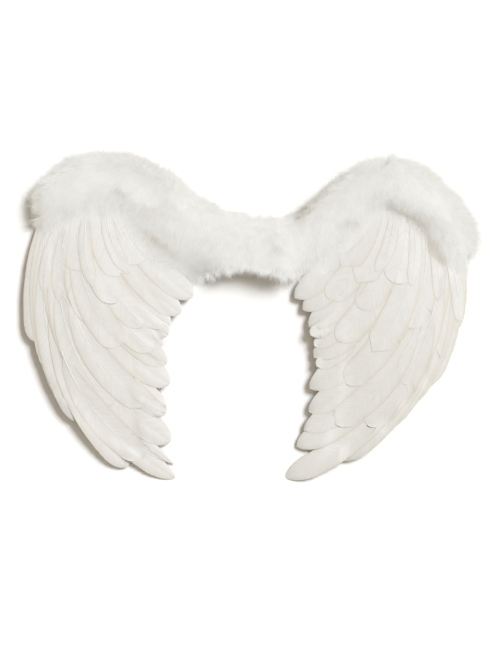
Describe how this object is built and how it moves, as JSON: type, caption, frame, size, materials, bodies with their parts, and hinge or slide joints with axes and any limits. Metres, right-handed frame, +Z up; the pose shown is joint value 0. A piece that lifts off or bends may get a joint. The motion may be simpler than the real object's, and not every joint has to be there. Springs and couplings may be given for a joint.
{
  "type": "costume wings",
  "caption": "Feathered costume wings on a felt backing, joined by a deep fur trim, with elastic arm loops folded flat behind.",
  "frame": {"origin": "on the table, under the middle of the whole", "axes": "+X along the span, towards the wing that is on the right in the picture; +Y from the wing tips towards the top of the fur; +Z up off the table, towards the feathered side"},
  "size_m": [0.5988, 0.4394, 0.0378],
  "materials": {
    "feather": "soft white feather",
    "fur": "long soft white fur",
    "felt": "matte white felt",
    "elastic": "woven white elastic"
  },
  "bodies": {
    "root": {"backing_panel": "felt", "fur_trim": "fur", "left_arm_loop": "elastic", "left_flight_01": "feather", "left_flight_02": "feather", "left_flight_03": "feather", "left_flight_04": "feather", "left_flight_05": "feather", "left_flight_06": "feather", "left_flight_07": "feather", "left_flight_08": "feather", "left_flight_09": "feather", "left_flight_10": "feather", "left_flight_11": "feather", "left_flight_12": "feather", "left_flight_13": "feather", "left_flight_14": "feather", "left_flight_15": "feather", "left_greater_covert_01": "feather", "left_greater_covert_02": "feather", "left_greater_covert_03": "feather", "left_greater_covert_04": "feather", "left_greater_covert_05": "feather", "left_greater_covert_06": "feather", "left_greater_covert_07": "feather", "left_lesser_covert_01": "feather", "left_lesser_covert_02": "feather", "left_lesser_covert_03": "feather", "left_median_covert_01": "feather", "left_median_covert_02": "feather", "left_median_covert_03": "feather", "right_arm_loop": "elastic", "right_flight_01": "feather", "right_flight_02": "feather", "right_flight_03": "feather", "right_flight_04": "feather", "right_flight_05": "feather", "right_flight_06": "feather", "right_flight_07": "feather", "right_flight_08": "feather", "right_flight_09": "feather", "right_flight_10": "feather", "right_flight_11": "feather", "right_flight_12": "feather", "right_flight_13": "feather", "right_flight_14": "feather", "right_flight_15": "feather", "right_greater_covert_01": "feather", "right_greater_covert_02": "feather", "right_greater_covert_03": "feather", "right_greater_covert_04": "feather", "right_greater_covert_05": "feather", "right_greater_covert_06": "feather", "right_greater_covert_07": "feather", "right_lesser_covert_01": "feather", "right_lesser_covert_02": "feather", "right_lesser_covert_03": "feather", "right_median_covert_01": "feather", "right_median_covert_02": "feather", "right_median_covert_03": "feather"}
  },
  "joints": []
}
